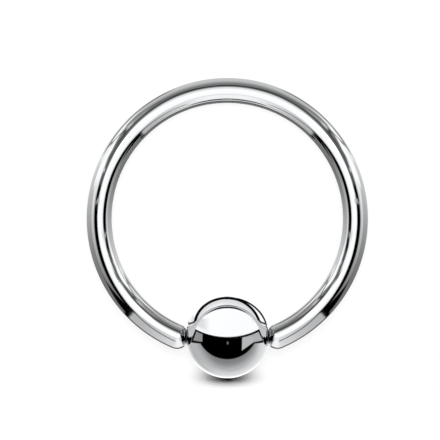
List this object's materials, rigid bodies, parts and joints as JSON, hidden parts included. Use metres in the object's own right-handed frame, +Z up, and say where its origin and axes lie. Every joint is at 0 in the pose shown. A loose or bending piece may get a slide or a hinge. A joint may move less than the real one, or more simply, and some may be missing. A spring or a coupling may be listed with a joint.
{
  "type": "captive bead ring",
  "caption": "Captive bead ring for a piercing: a hoop of round polished steel wire whose domed ends hold a dimpled ball between them.",
  "frame": {"origin": "bottom centre of the whole ring's box, on the surface that it lies on", "axes": "+Z up from that surface; +Y from the bead to the far side of the hoop, with the bead at -Y; +X along the bead's axis"},
  "size_m": [0.0134, 0.0144, 0.004],
  "materials": {
    "wire_steel": "mirror-polished surgical steel",
    "bead_steel": "mirror-polished surgical steel"
  },
  "bodies": {
    "ring": {"ring": "wire_steel"},
    "bead": {"bead": "bead_steel"}
  },
  "joints": [
    {"name": "bead_spin", "type": "hinge", "parent": "ring", "child": "bead", "pos_m": [0, -0.00516, 0.002], "axis": [1, 0, 0], "continuous": true}
  ]
}
